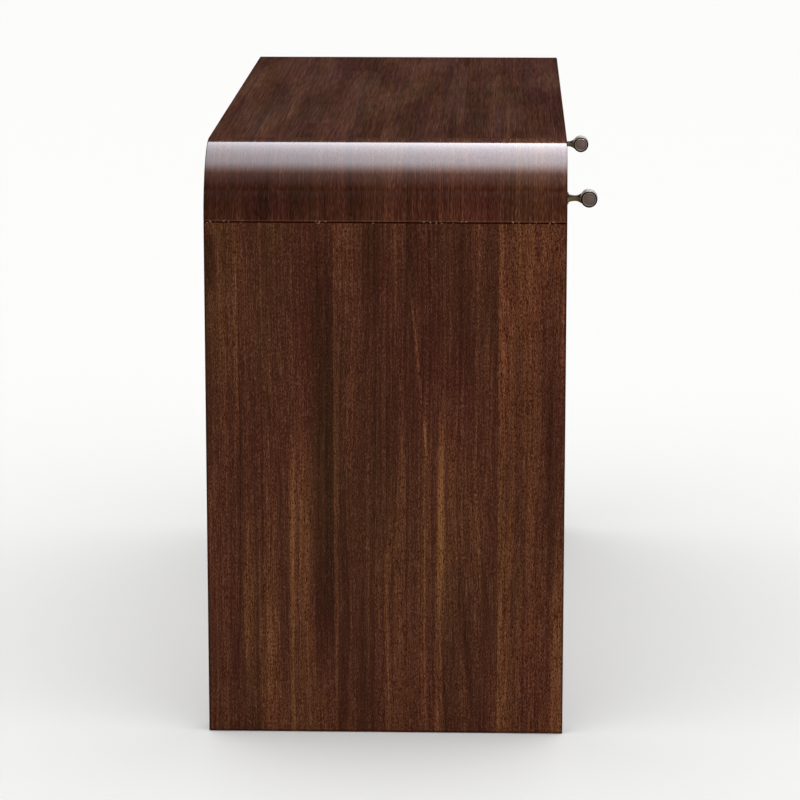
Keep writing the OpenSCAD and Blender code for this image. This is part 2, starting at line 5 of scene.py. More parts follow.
import bmesh
import bpy
from bpy.props import FloatProperty, FloatVectorProperty, PointerProperty
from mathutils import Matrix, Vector


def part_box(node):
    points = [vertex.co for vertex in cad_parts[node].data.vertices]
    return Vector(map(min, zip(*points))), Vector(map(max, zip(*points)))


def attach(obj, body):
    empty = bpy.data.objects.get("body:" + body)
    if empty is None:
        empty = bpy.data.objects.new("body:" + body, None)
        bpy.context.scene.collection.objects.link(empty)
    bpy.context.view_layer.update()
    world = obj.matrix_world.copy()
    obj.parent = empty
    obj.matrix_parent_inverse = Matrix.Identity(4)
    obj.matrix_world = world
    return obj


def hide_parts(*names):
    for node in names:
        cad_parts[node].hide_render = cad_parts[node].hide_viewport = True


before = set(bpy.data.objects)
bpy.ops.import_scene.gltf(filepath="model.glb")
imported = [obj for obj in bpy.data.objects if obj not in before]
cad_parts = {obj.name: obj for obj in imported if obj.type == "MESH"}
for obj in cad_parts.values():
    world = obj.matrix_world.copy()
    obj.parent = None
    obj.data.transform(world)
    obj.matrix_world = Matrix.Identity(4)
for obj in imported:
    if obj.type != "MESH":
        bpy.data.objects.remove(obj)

bl_info = {
    "name": "Waterfall Dressing Table",
    "version": (1, 0, 0),
    "blender": (4, 5, 0),
    "location": "3D View > Sidebar > Dressing Table",
    "description": "Finishes the frame of a walnut dressing table and sets it in a studio",
    "category": "Add Mesh",
}

MM = 0.001
QUARTER_TURN = math.pi / 2
SIDES = ("left", "right")
WALLS = ("outer", "inner")
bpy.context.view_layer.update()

TOP_LOW, TOP_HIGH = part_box("top_panel")
SIDE_LOW, SIDE_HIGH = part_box("side_right")
CORNER_X = TOP_HIGH.x
SEAM_Z = SIDE_HIGH.z
CORNER_R = SIDE_HIGH.x - CORNER_X
CASE_FRONT = TOP_LOW.y
CASE_BACK = TOP_HIGH.y

# Axes of a board in the order grain, width, thickness
LYING = (0, 1, 2)
LYING_DEEP = (1, 0, 2)
STANDING = (0, 2, 1)
STANDING_DEEP = (1, 2, 0)
UPRIGHT = (2, 1, 0)

# A leaf of veneer: its width in millimetres, its tone at the back edge from 0, deep, to 1, golden, what the
# tone gains up to its front edge, how red it is, and how strong its dark pores are
Leaf = namedtuple("Leaf", "width tone fade red pores", defaults=(0.0, 0.0, 0.25))

# A streak on a side, in millimetres: its centre from the back edge, its width, and its start and end below
# the seam. Then the tone that it adds, how it leans, and from where to where it may show across the side,
# which is 450 deep
Streak = namedtuple("Streak", "centre width start end strength lean within", defaults=(0.0, (0, 450)))

Screw = namedtuple("Screw", "length head_radius head_height shank_radius place direction")


def linear(code):
    """Turns an sRGB hex colour into linear red, green and blue."""
    parts = [int(code[i:i + 2], 16) / 255 for i in (0, 2, 4)]
    return tuple(v / 12.92 if v <= 0.04045 else ((v + 0.055) / 1.055) ** 2.4 for v in parts)


def colour(name, code, description):
    """A colour that the user may change, from its sRGB hex value."""
    return FloatVectorProperty(
        name=name, description=description, default=linear(code), size=3, subtype="COLOR", min=0, max=1)


def length(name, millimetres, description):
    """A size that the user may change, in millimetres here and metres inside."""
    return FloatProperty(
        name=name, description=description, default=millimetres * MM, unit="LENGTH", min=0)


class WalnutSettings(bpy.types.PropertyGroup):
    """Colours and figure of the walnut veneer."""
    deep: colour("Deep", "241407", "Darkest heartwood")
    dark: colour("Dark", "371C10", "Dark heartwood")
    middle: colour("Middle", "482618", "Main heartwood colour")
    warm: colour("Warm", "5E351D", "Lighter heartwood")
    golden: colour("Golden", "7E522E", "Golden streaks")
    pore: colour("Pore", "280B02", "Filled pores")
    fibre: colour("Fibre", "90654C", "Pale fibres that catch the light")
    bare: colour("Bare wood", "A88C7C", "Chips beside the seam")
    wave_length: length("Wave length", 520, "Length over which the grain leans and returns")
    wave_width: length("Wave width", 130, "Width over which neighbouring grain leans alike")
    wave_height: length("Wave height", 26, "How far the grain leans to and fro")
    band_length: length("Band length", 380, "Length of the broad light and dark bands")
    band_width: length("Band width", 34, "Width of the broad light and dark bands")
    line_length: length("Line length", 1100, "Length of the growth lines")
    line_width: length("Line width", 4.5, "Width of the growth lines")
    fibre_length: length("Fibre length", 32, "Length of the fine fibres")
    fibre_width: length("Fibre width", 0.85, "Width of the fine fibres, drawn coarser than the real ones")
    fleck_length: length("Fleck length", 3, "Length of the short flecks between the fibres")
    pore_length: length("Pore length", 4, "Length of a pore")
    pore_width: length("Pore width", 1.1, "Width of a pore, drawn coarser than the real 0.2 mm")
    seam_width: length("Seam width", 1.5, "Width of the dark line where a side meets its corner")


class PaleWoodSettings(bpy.types.PropertyGroup):
    """Colours and figure of the drawer boxes, their bottoms and the joinery."""
    ash: colour("Ash", "D8BE96", "Early wood of the ash boards")
    ash_late: colour("Ash late wood", "B08A5C", "Late wood of the ash boards")
    ash_ring: length("Ash ring width", 5.5, "Growth in a year")
    birch: colour("Birch", "DEC79F", "Face veneer of the plywood")
    birch_late: colour("Birch late wood", "C8A878", "Darker figure of the face veneer")
    birch_ring: length("Birch ring width", 26, "Width of the figure on the peeled veneer")
    beech: colour("Beech", "CFA67C", "Beech between its rays")
    beech_late: colour("Beech late wood", "B3855A", "Late wood and rays of the beech")
    beech_ring: length("Beech ring width", 3, "Growth in a year")


class FittingSettings(bpy.types.PropertyGroup):
    """Colours of the metal and plastic fittings."""
    bronze: colour("Bronze", "C2A89D", "Brass of the knobs, darkened and partly rubbed clean")
    # Also the painted shade in the dark ring on the knobs' rims
    patina_and_shade: colour("Patina", "20150F", "Dark film left in the hollows of the knobs")
    # Also the painted highlight in the pale ring on the knobs' rims
    rubbed: colour("Rubbed metal", "E8DFD0", "High spots of the knobs, rubbed bright")
    olive: colour("Olive bronze", "8A7652", "Necks and rosettes of the knobs")
    zinc: colour("Zinc plate", "BFC4C9", "Blue zinc plate of the slides")
    zinc_warm: colour("Zinc plate, warm", "CBC6B4", "Yellowish clouds in the zinc plate")
    screw: colour("Screw plate", "C6C2B2", "Zinc plate of the screws and bolts")
    rolling_line: length("Rolling line", 0.6, "Spacing of the lines that rolling leaves in the strip")
    ball: colour("Ball", "D5D7D9", "Polished bearing balls")
    nylon: colour("Nylon", "2A2521", "Moulded floor glides")
    wood_thread: length("Wood screw pitch", 1.6, "Pitch of the slide and front screws' threads")
    metal_thread: length("Bolt pitch", 0.7, "Pitch of the knob bolts' threads")
    thread_depth: length("Thread depth", 0.35, "Depth of a thread")


class StageSettings(bpy.types.PropertyGroup):
    """Floor, lights and camera."""
    floor: colour("Floor", "FEFEFD", "Colour of the pale floor")
    cloth: colour("Cloth", "30302F", "What the lacquer and metal mirror in place of the floor")
    floor_reach: length("Floor reach", 40000, "Distance from the table to the floor's edges")
    softbox: colour("Softbox", "F4F5FF", "Colour of the softbox's cool light")
    skirt: colour("Softbox skirt", "FFDDD2", "Colour of the warmer light at the softbox's near edge")
    box_height: length("Softbox height", 2600, "Height of the softbox above the floor")
    camera_place: FloatVectorProperty(
        name="Camera place", description="Where the camera stands", default=(-4.778, -0.126, 1.329),
        size=3, subtype="TRANSLATION", unit="LENGTH")
    camera_yaw: FloatProperty(
        name="Yaw", description="Camera's turn from straight along the width", default=math.radians(1.757),
        subtype="ANGLE", unit="ROTATION")
    camera_pitch: FloatProperty(
        name="Pitch", description="Camera's tilt below the horizon", default=math.radians(11.957),
        subtype="ANGLE", unit="ROTATION")
    camera_lens: FloatProperty(
        name="Lens", description="Focal length in millimetres", default=155.86, min=20)


def first_output(node):
    """The first output that the node's settings leave in use."""
    return next(socket for socket in node.outputs if socket.enabled)


def add(tree, kind, inputs=None, **settings):
    """Adds a node, whose kind may end in its operation, such as Math ADD. Inputs, by name or number, take a
    value, a socket or a node, and settings are its own."""
    kind, _, operation = kind.partition(" ")
    node = tree.nodes.new("ShaderNode" + kind)
    if operation:
        node.operation = operation
    for key, value in settings.items():
        setattr(node, key, value)
    for key, value in (inputs or {}).items():
        if isinstance(value, bpy.types.Node):
            value = first_output(value)
        if isinstance(value, bpy.types.NodeSocket):
            tree.links.new(value, node.inputs[key])
        else:
            node.inputs[key].default_value = value
    return node


def set_stops(ramp, stops):
    """Gives a colour ramp these stops, each a position and a colour."""
    elements = ramp.color_ramp.elements
    while len(elements) < len(stops):
        elements.new(0.5)
    for stop, (position, shade) in zip(elements, stops):
        stop.position = position
        stop.color = (*shade, 1)


def surface(name, **settings):
    """A new material with its node tree and its shader, whose sockets take the settings."""
    material = bpy.data.materials.new(name)
    material.use_nodes = True
    shader = material.node_tree.nodes["Principled BSDF"]
    for key, value in settings.items():
        shader.inputs[key.replace("_", " ")].default_value = value
    return material, material.node_tree, shader


def link(shader, **sources):
    """Links nodes to the shader's sockets of these names."""
    for key, node in sources.items():
        shader.id_data.links.new(first_output(node), shader.inputs[key.replace("_", " ")])


def paint(names, material):
    """Gives CAD nodes a finish."""
    for name in names:
        for material_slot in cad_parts[name].material_slots:
            material_slot.link = "OBJECT"
            material_slot.material = material


def streaks(tree, spot, along, across, seed, detail=1.5, rough=0.5):
    """Noise drawn out along the grain into streaks of about that length and width."""
    scale = (1 / along, 1 / across, 1 / across)
    offset = (seed * 7.31, seed * 3.17, seed * 5.73)
    spread = add(tree, "VectorMath MULTIPLY_ADD", {0: spot, 1: scale, 2: offset})
    return add(tree, "TexNoise", {"Vector": spread, "Scale": 1.0, "Detail": detail, "Roughness": rough})


def spots(tree, size, detail):
    """Noise of about that size, the same in all directions."""
    spot = add(tree, "TexCoord").outputs["Object"]
    return add(tree, "TexNoise", {"Vector": spot, "Scale": 1 / size, "Detail": detail})


def shell_place(tree):
    """Place on the unrolled case: along the grain from the middle, across it, and depth in the board."""
    x, y, z = add(tree, "SeparateXYZ", {0: add(tree, "TexCoord").outputs["Object"]}).outputs
    width = add(tree, "Math ABSOLUTE", {0: x})
    past_x = add(tree, "Math SUBTRACT", {0: width, 1: CORNER_X})
    past_x = add(tree, "Math MAXIMUM", {0: past_x, 1: 0.0})
    past_z = add(tree, "Math SUBTRACT", {0: z, 1: SEAM_Z})
    past_z = add(tree, "Math MAXIMUM", {0: past_z, 1: 0.0})
    turn = add(tree, "Math ARCTAN2", {0: past_x, 1: past_z})
    past = add(tree, "CombineXYZ", {0: past_x, 1: past_z})
    radius = add(tree, "VectorMath LENGTH", {0: past}).outputs["Value"]
    depth = add(tree, "Math SUBTRACT", {0: CORNER_R, 1: radius})
    along = add(tree, "Math MINIMUM", {0: width, 1: CORNER_X})
    along = add(tree, "Math MULTIPLY_ADD", {0: turn, 1: CORNER_R, 2: along})
    drop = add(tree, "Math SUBTRACT", {0: SEAM_Z, 1: z})
    drop = add(tree, "Math MAXIMUM", {0: drop, 1: 0.0})
    along = add(tree, "Math ADD", {0: along, 1: drop})
    side = add(tree, "Math SIGN", {0: x})
    along = add(tree, "Math MULTIPLY", {0: along, 1: side})
    return add(tree, "CombineXYZ", {0: along, 1: y, 2: depth})


def board_place(tree, order):
    """Place on a straight board, with the axes in the order grain, width, thickness."""
    point = add(tree, "SeparateXYZ", {0: add(tree, "TexCoord").outputs["Object"]})
    return add(tree, "CombineXYZ", {i: point.outputs[axis] for i, axis in enumerate(order)})


def lay_leaves(tree, spot, leaves):
    """Lays veneer leaves side by side from the back edge, each cut further along the log and deeper in it.
    Returns the place in the leaf, its tone, its redness and the strength of its pores."""
    further, deeper = 730 * MM, 310 * MM
    joint_start, joint_end, joint_dark = 0.2 * MM, 0.8 * MM, 0.2
    along, y, depth = add(tree, "SeparateXYZ", {0: spot}).outputs
    across = add(tree, "Math SUBTRACT", {0: CASE_BACK, 1: y})
    edges = [sum(leaf.width for leaf in leaves[:i]) * MM for i in range(len(leaves))]
    passed = [add(tree, "Math GREATER_THAN", {0: across, 1: edge}) for edge in edges[1:]]

    def by_leaf(values):
        total = values[0]
        for step, before, after in zip(passed, values, values[1:]):
            total = add(tree, "Math MULTIPLY_ADD", {0: step, 1: after - before, 2: total})
        return total

    inside = add(tree, "Math SUBTRACT", {0: across, 1: by_leaf(edges)})
    slope = by_leaf([leaf.fade / (leaf.width * MM) for leaf in leaves])
    tone = by_leaf([leaf.tone for leaf in leaves])
    tone = add(tree, "Math MULTIPLY_ADD", {0: inside, 1: slope, 2: tone})
    joint = add(tree, "MapRange", {0: inside, 1: joint_start, 2: joint_end, 3: -joint_dark, 4: 0.0})
    tone = add(tree, "Math ADD", {0: tone, 1: joint})
    shift = by_leaf([further * i for i in range(len(leaves))])
    along = add(tree, "Math ADD", {0: along, 1: shift})
    sink = by_leaf([deeper * i for i in range(len(leaves))])
    depth = add(tree, "Math ADD", {0: depth, 1: sink})
    red = by_leaf([leaf.red for leaf in leaves])
    pores = by_leaf([leaf.pores for leaf in leaves])
    return add(tree, "CombineXYZ", {0: along, 1: inside, 2: depth}), tone, red, pores


def draw_streak(tree, spot, streak):
    """1 in the middle of a streak along the grain, fading to 0 at its sides and ends."""
    along, y = add(tree, "SeparateXYZ", {0: spot}).outputs[:2]
    from_back = add(tree, "Math SUBTRACT", {0: CASE_BACK, 1: y})
    past_low = add(tree, "Math GREATER_THAN", {0: from_back, 1: streak.within[0] * MM})
    past_high = add(tree, "Math LESS_THAN", {0: from_back, 1: streak.within[1] * MM})
    leaf = add(tree, "Math MULTIPLY", {0: past_low, 1: past_high})
    drop = add(tree, "Math ABSOLUTE", {0: along})
    drop = add(tree, "Math SUBTRACT", {0: drop, 1: CORNER_X + CORNER_R * QUARTER_TURN})
    across = add(tree, "Math SUBTRACT", {0: CASE_BACK - streak.centre * MM, 1: y})
    past = add(tree, "Math SUBTRACT", {0: drop, 1: streak.start * MM})
    off = add(tree, "Math MULTIPLY_ADD", {0: past, 1: -streak.lean, 2: across})
    off = add(tree, "Math ABSOLUTE", {0: off})
    width, run = streak.width * MM, (streak.end - streak.start) * MM
    soft = run / 4
    side = add(tree, "MapRange", {0: off, 1: 0.75 * width, 2: 0.2 * width}, interpolation_type="SMOOTHSTEP")
    begins = add(tree, "MapRange", {0: past, 1: 0.0, 2: soft}, interpolation_type="SMOOTHSTEP")
    ends = add(tree, "MapRange", {0: past, 1: run, 2: run - soft}, interpolation_type="SMOOTHSTEP")
    window = add(tree, "Math MULTIPLY", {0: begins, 1: ends})
    window = add(tree, "Math MULTIPLY", {0: window, 1: leaf})
    return add(tree, "Math MULTIPLY", {0: side, 1: window})


def near_edge(tree, axis, value, width):
    """1 on a plane across the axis and 0 at that distance from it."""
    point = add(tree, "SeparateXYZ", {0: add(tree, "TexCoord").outputs["Object"]}).outputs[axis]
    off = add(tree, "Math SUBTRACT", {0: point, 1: value})
    off = add(tree, "Math ABSOLUTE", {0: off})
    return add(tree, "MapRange", {0: off, 1: width, 2: 0.4 * width}, interpolation_type="SMOOTHSTEP")


def paint_corner_shade(tree, spot, tone, corner_shade):
    """Painted shade: darkens the rounded corner's veneer below its highlight, where less light reaches it,
    and less towards the seam.
    """
    start, full, ease_start, ease_end = [CORNER_X + turn * CORNER_R for turn in (0.5, 1.2, 1.3, 1.6)]
    eased_share = 0.35
    along = add(tree, "Math ABSOLUTE", {0: add(tree, "SeparateXYZ", {0: spot})})
    in_shade = add(tree, "MapRange", {0: along, 1: start, 2: full}, interpolation_type="SMOOTHSTEP")
    tone = add(tree, "Math MULTIPLY_ADD", {0: in_shade, 1: -corner_shade, 2: tone})
    eased = add(tree, "MapRange", {0: along, 1: ease_start, 2: ease_end})
    return add(tree, "Math MULTIPLY_ADD", {0: eased, 1: eased_share * corner_shade, 2: tone})


def walnut(name, seed, order=None, leaves=(), streak_list=(), bands=0.9, lines=0.6, curl=0.1, wander=1.0,
           depth=1.0, stretch=1.0, broaden=1.0, corner_shade=0.0, coat=1.0, smudge=0.0, seam=False):
    """Walnut veneer, sanded, pore-filled and sprayed with gloss lacquer.

    The lacquer gives a clear, sharp-edged reflection over brown wood that stays dark and soft inside it. Fine
    pale and dark fibres show through it, with short dark pores. Bands, lines, curl and depth are the
    contrasts of the broad figure, growth lines, cross ripples and fibres. Wander scales the grain's lean, and
    stretch and broaden the fibres' size. A further argument sets how dark the painted shade on the rounded
    corner is, and smudge how uneven the lacquer is.
    """
    wood = bpy.context.scene.walnut
    material, tree, shader = surface(name, IOR=1.5, Specular_IOR_Level=0.0, Roughness=0.5, Coat_Weight=coat,
                                     Coat_Roughness=0.08, Coat_IOR=1.5)
    case_spot = board_place(tree, order) if order else shell_place(tree)
    plain = Leaf(width=0, tone=0.5)
    spot, tone, red, pore_strength = case_spot, plain.tone, plain.red, plain.pores
    if leaves:
        spot, tone, red, pore_strength = lay_leaves(tree, case_spot, leaves)

    # Figure, from 0, deep, to 1, golden
    drift = streaks(tree, spot, wood.wave_length, wood.wave_width, seed)
    sway = wood.wave_height * wander
    lean = add(tree, "Math MULTIPLY_ADD", {0: drift, 1: sway, 2: -sway / 2})
    lean = add(tree, "CombineXYZ", {1: lean, 2: lean})
    bent = add(tree, "VectorMath ADD", {0: spot, 1: lean})
    broad = streaks(tree, bent, wood.band_length, wood.band_width, seed + 1)
    growth = streaks(tree, bent, wood.line_length, wood.line_width, seed + 2, 2.5, 0.75)
    ripple_length, ripple_width = 12 * MM, 50 * MM
    ripple = streaks(tree, spot, ripple_length, ripple_width, seed + 4)
    for figure, contrast in ((broad, bands), (growth, lines), (ripple, curl)):
        change = add(tree, "Math SUBTRACT", {0: figure, 1: 0.5})
        tone = add(tree, "Math MULTIPLY_ADD", {0: change, 1: contrast, 2: tone})
    # Painted shade on the rounded corner below its highlight
    if corner_shade:
        tone = paint_corner_shade(tree, case_spot, tone, corner_shade)
    uneven = add(tree, "Math ADD", {0: growth, 1: broad})
    for streak in streak_list:
        drawn = draw_streak(tree, case_spot, streak)
        broken = add(tree, "Math MULTIPLY", {0: drawn, 1: uneven})
        tone = add(tree, "Math MULTIPLY_ADD", {0: broken, 1: streak.strength, 2: tone})

    # Colour, with redder and yellower stretches
    ramp = add(tree, "ValToRGB", {0: tone})
    set_stops(ramp, [(0.0, wood.deep), (0.25, wood.dark), (0.5, wood.middle), (0.75, wood.warm),
                     (1.0, wood.golden)])
    hue_spread, redder, hue_length, hue_width = 0.05, 0.006, 300 * MM, 50 * MM
    hue = streaks(tree, bent, hue_length, hue_width, seed + 5)
    hue = add(tree, "Math MULTIPLY_ADD", {0: hue, 1: -hue_spread, 2: 0.5 + hue_spread / 2})
    hue = add(tree, "Math MULTIPLY_ADD", {0: red, 1: -redder, 2: hue})
    shade = add(tree, "HueSaturation", {"Hue": hue, "Color": ramp})

    # Fibres and flecks, which show more in golden wood, and pores
    fibre_width = wood.fibre_width * broaden
    fibres = streaks(tree, bent, wood.fibre_length * stretch, fibre_width, seed + 3, 1, 0.6)
    flecks = streaks(tree, bent, wood.fleck_length * stretch, fibre_width, seed + 7, 0)
    fibre_share, fleck_share = 0.6, 0.75
    level = -(fibre_share + fleck_share) / 2
    grain = add(tree, "Math MULTIPLY_ADD", {0: fibres, 1: fibre_share, 2: level})
    grain = add(tree, "Math MULTIPLY_ADD", {0: flecks, 1: fleck_share, 2: grain})
    coarse = add(tree, "MapRange", {0: tone, 1: 0.3, 2: 0.75, 3: 0.45, 4: 1.35})
    grain = add(tree, "Math MULTIPLY", {0: grain, 1: coarse})
    pale = add(tree, "MapRange", {0: grain, 1: 0.0, 2: 0.4, 3: 0.0, 4: 0.6 * depth})
    dark = add(tree, "MapRange", {0: grain, 1: 0.0, 2: -0.4, 3: 0.0, 4: 1.15 * depth})
    pores = streaks(tree, bent, wood.pore_length * stretch, wood.pore_width, seed + 6, 0)
    pores = add(tree, "MapRange", {0: pores, 1: 0.58, 2: 0.7}, interpolation_type="SMOOTHSTEP")
    pores = add(tree, "Math MULTIPLY", {0: pores, 1: pore_strength})
    for mask, tint in ((pale, wood.fibre), (dark, wood.pore), (pores, wood.pore)):
        shade = add(tree, "Mix", {0: mask, 6: shade, 7: (*tint, 1)}, data_type="RGBA")

    # Lacquer, rubbed thin in patches, and its relief
    if smudge:
        dull = streaks(tree, spot, 0.7 * wood.wave_length, 0.35 * wood.wave_width, seed + 8, 2)
        dull = add(tree, "MapRange", {0: dull, 1: 0.35, 2: 0.65, 3: 1 - smudge, 4: 1 + smudge})
        grey = add(tree, "CombineXYZ", {0: dull, 1: dull, 2: dull})
        shade = add(tree, "Mix", {0: 1.0, 6: shade, 7: grey}, data_type="RGBA", blend_type="MULTIPLY")
        rubbed = add(tree, "Math MULTIPLY_ADD", {0: grain, 1: 1.2, 2: 1.0})
        rubbed = add(tree, "Math MULTIPLY", {0: rubbed, 1: dull})
        link(shader, Coat_Weight=add(tree, "Math MULTIPLY", {0: rubbed, 1: coat}))
    relief = add(tree, "Math MULTIPLY_ADD", {0: pores, 1: -1.0, 2: fibres})
    bump = add(tree, "Bump", {"Strength": 0.4, "Distance": 0.05 * MM, "Height": relief})
    coat_bump = add(tree, "Bump", {"Strength": 0.04, "Distance": 0.05 * MM, "Height": fibres})
    if seam:
        shade = mark_seam(tree, shader, wood, shade)
    link(shader, Base_Color=shade, Normal=bump, Coat_Normal=coat_bump)
    return material


def mark_seam(tree, shader, wood, shade):
    """Darkens the board's edges and the seam line, a glue joint darkened further by painted shade in its
    groove and left matt, with a painted highlight on the eased edge above it and a few chips of bare wood
    beside it."""
    chip_size, group_size = 3 * MM, 45 * MM
    edge_width = 2 * wood.seam_width
    highlight_z, highlight_width = SEAM_Z + 1.3 * wood.seam_width, 0.7 * wood.seam_width
    marks = [
        (1, CASE_FRONT, edge_width, 0.6, wood.pore),
        (1, CASE_BACK, edge_width, 0.6, wood.pore),
        (2, SIDE_LOW.z, edge_width, 0.6, wood.pore),
        # The last mark is a painted highlight along the eased edge above the seam
        (2, highlight_z, highlight_width, 0.12, wood.fibre),
    ]
    for axis, value, width, strength, tint in marks:
        mark = near_edge(tree, axis, value, width)
        mark = add(tree, "Math MULTIPLY", {0: mark, 1: strength})
        shade = add(tree, "Mix", {0: mark, 6: shade, 7: (*tint, 1)}, data_type="RGBA")
    # Painted shade in the seam's groove, over a dark glue joint; its lacquer is left matt
    line = near_edge(tree, 2, SEAM_Z, wood.seam_width)
    shade = add(tree, "Mix", {0: line, 6: shade, 7: (*wood.pore, 1)}, data_type="RGBA")
    link(shader, Coat_Weight=add(tree, "Math SUBTRACT", {0: 1.0, 1: line}))
    chips = add(tree, "MapRange", {0: spots(tree, chip_size, 2.0), 1: 0.6, 2: 0.66, 3: 0.0, 4: 0.7})
    groups = add(tree, "MapRange", {0: spots(tree, group_size, 0.0), 1: 0.5, 2: 0.6})
    chips = add(tree, "Math MULTIPLY", {0: chips, 1: groups})
    beside = near_edge(tree, 2, SEAM_Z + 0.4 * MM, 1.6 * wood.seam_width)
    chips = add(tree, "Math MULTIPLY", {0: chips, 1: beside})
    return add(tree, "Mix", {0: chips, 6: shade, 7: (*wood.bare, 1)}, data_type="RGBA")


def pale_wood(name, node, order, kind, heart, seed, roughness=0.5, rays=0.0):
    """Sawn and planed wood under a thin clear lacquer: rings show as lines on the face and arcs on end grain.
    The heart of the tree lies that far behind the middle of the node's board.

    The lacquer gives a low even sheen, and the pores stay open as fine dark dashes in the early wood.
    """
    wood = bpy.context.scene.pale_woods
    light, late, ring = [getattr(wood, kind + part) for part in ("", "_late", "_ring")]
    drift_length, drift_width, sway = 500 * MM, 60 * MM, 16 * MM
    fibre_length, fibre_width, pore_length, pore_width = 30 * MM, 0.8 * MM, 5 * MM, 0.6 * MM
    material, tree, shader = surface(name, IOR=1.5, Roughness=roughness, Specular_IOR_Level=0.5)
    spot = board_place(tree, order)
    drift = streaks(tree, spot, drift_length, drift_width, seed, 2)
    low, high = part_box(node)
    middle = [(low[axis] + high[axis]) / 2 for axis in order]
    across, depth = add(tree, "SeparateXYZ", {0: spot}).outputs[1:]
    if order[2] == 0:
        # The left drawer's walls mirror the right one's, so both measure their depth from the table's middle
        depth = add(tree, "Math ABSOLUTE", {0: depth})
    wander = add(tree, "Math MULTIPLY_ADD", {0: drift, 1: sway, 2: -sway / 2 - middle[1]})
    across = add(tree, "Math ADD", {0: across, 1: wander})
    depth = add(tree, "Math ADD", {0: depth, 1: heart - abs(middle[2])})
    depth = add(tree, "Math MULTIPLY_ADD", {0: drift, 1: -3 * ring, 2: depth})
    from_heart = add(tree, "CombineXYZ", {0: across, 1: depth})
    reach = add(tree, "VectorMath LENGTH", {0: from_heart}).outputs["Value"]
    year = add(tree, "Math MULTIPLY", {0: reach, 1: 1 / ring})
    year = add(tree, "Math FRACT", {0: year})
    summer = add(tree, "MapRange", {0: year, 1: 0.35, 2: 0.85, 4: 0.6}, interpolation_type="SMOOTHSTEP")
    winter = add(tree, "MapRange", {0: year, 1: 1.0, 2: 0.93}, interpolation_type="SMOOTHSTEP")
    grown = add(tree, "Math MULTIPLY", {0: summer, 1: winter})
    fibres = streaks(tree, spot, fibre_length, fibre_width, seed + 1, 2, 0.6)
    grown = add(tree, "Math MULTIPLY_ADD", {0: fibres, 1: 0.35, 2: grown})
    shade = add(tree, "Mix", {0: grown, 6: (*light, 1), 7: (*late, 1)}, data_type="RGBA")
    pores = streaks(tree, spot, pore_length, pore_width, seed + 2, 0)
    pores = add(tree, "MapRange", {0: pores, 1: 0.6, 2: 0.75, 3: 0.0, 4: 0.35 + rays})
    pore = [0.45 * value for value in late]
    shade = add(tree, "Mix", {0: pores, 6: shade, 7: (*pore, 1)}, data_type="RGBA")
    bump = add(tree, "Bump", {"Strength": 0.5, "Distance": 0.06 * MM, "Height": fibres})
    link(shader, Base_Color=shade, Normal=bump)
    return material


def bronze():
    """Brass, darkened to an antique bronze and worn: a satin metal, dark brown where the darkening stays in
    the hollows of the head, silvery where hands have rubbed the barrel, olive on the neck and rosette. On the
    head's rim a pale ring is a painted highlight and the dark ring outside it patina and painted shade. The
    film over it scatters three tenths of the light, and the thicker film on the neck and rosette more. The
    neck is darker on its upper side."""
    material, tree, shader = surface("antique bronze, darkened and worn")
    metal = bpy.context.scene.fittings
    low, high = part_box("knob_left")
    head_radius = (high.z - low.z) / 2
    to_axis = (0, -low.y - head_radius, -low.z - head_radius)
    off = add(tree, "TexCoord").outputs["Object"]
    off = add(tree, "VectorMath ADD", {0: off, 1: to_axis})
    off = add(tree, "VectorMath MULTIPLY", {0: off, 1: (0, 1, 1)})
    reach = add(tree, "VectorMath LENGTH", {0: off}).outputs["Value"]
    clouds = spots(tree, 2.5 * MM, 3.0)
    reach = add(tree, "Math MULTIPLY", {0: reach, 1: 1 / head_radius})
    reach = add(tree, "Math MULTIPLY_ADD", {0: clouds, 1: 0.03, 2: reach})

    # Rings round the barrel's axis, where 1 is the barrel's radius, and beyond it the neck
    neck_start, neck_full, ramp_reach = 1.03, 1.12, 2
    # Painted highlight: the pale ring from 0.72 to 0.8 lies where the head's rounded rim would catch the
    # light. The dark ring from 0.84 to 0.97 is patina with painted shade where the rim turns away.
    rings = [(0.0, metal.bronze), (0.64, metal.bronze), (0.69, metal.patina_and_shade), (0.72, metal.rubbed),
             (0.8, metal.rubbed), (0.84, metal.patina_and_shade), (0.97, metal.patina_and_shade), (1.0, metal.rubbed),
             (neck_start, metal.rubbed), (neck_full, metal.olive)]
    wear = add(tree, "ValToRGB", {0: add(tree, "Math MULTIPLY", {0: reach, 1: 1 / ramp_reach})})
    set_stops(wear, [(radius / ramp_reach, shade) for radius, shade in rings])
    worn = add(tree, "Mix", {0: clouds, 6: (1.3, 1.3, 1.3, 1), 7: (0.7, 0.7, 0.7, 1)}, data_type="RGBA")
    shade = add(tree, "Mix", {0: 1.0, 6: wear, 7: worn}, data_type="RGBA", blend_type="MULTIPLY")
    neck = add(tree, "MapRange", {0: reach, 1: neck_start, 2: neck_full})
    # The neck is darker on its upper side
    height = add(tree, "SeparateXYZ", {0: off}).outputs[2]
    upper_neck = add(tree, "MapRange", {0: height, 1: 0.8 * MM, 2: 2.2 * MM, 4: 0.9})
    upper_neck = add(tree, "Math MULTIPLY", {0: upper_neck, 1: neck})
    shade = add(tree, "Mix", {0: upper_neck, 6: shade, 7: (*metal.patina_and_shade, 1)}, data_type="RGBA")
    rough = add(tree, "MapRange", {0: clouds, 1: 0.3, 2: 0.7, 3: 0.28, 4: 0.42})
    rough = add(tree, "Math MULTIPLY_ADD", {0: neck, 1: 0.3, 2: rough})
    bare = add(tree, "Math MULTIPLY_ADD", {0: neck, 1: -0.4, 2: 0.7})
    bare = add(tree, "Math MULTIPLY_ADD", {0: upper_neck, 1: 0.65, 2: bare})
    link(shader, Base_Color=shade, Roughness=rough, Metallic=bare)
    return material


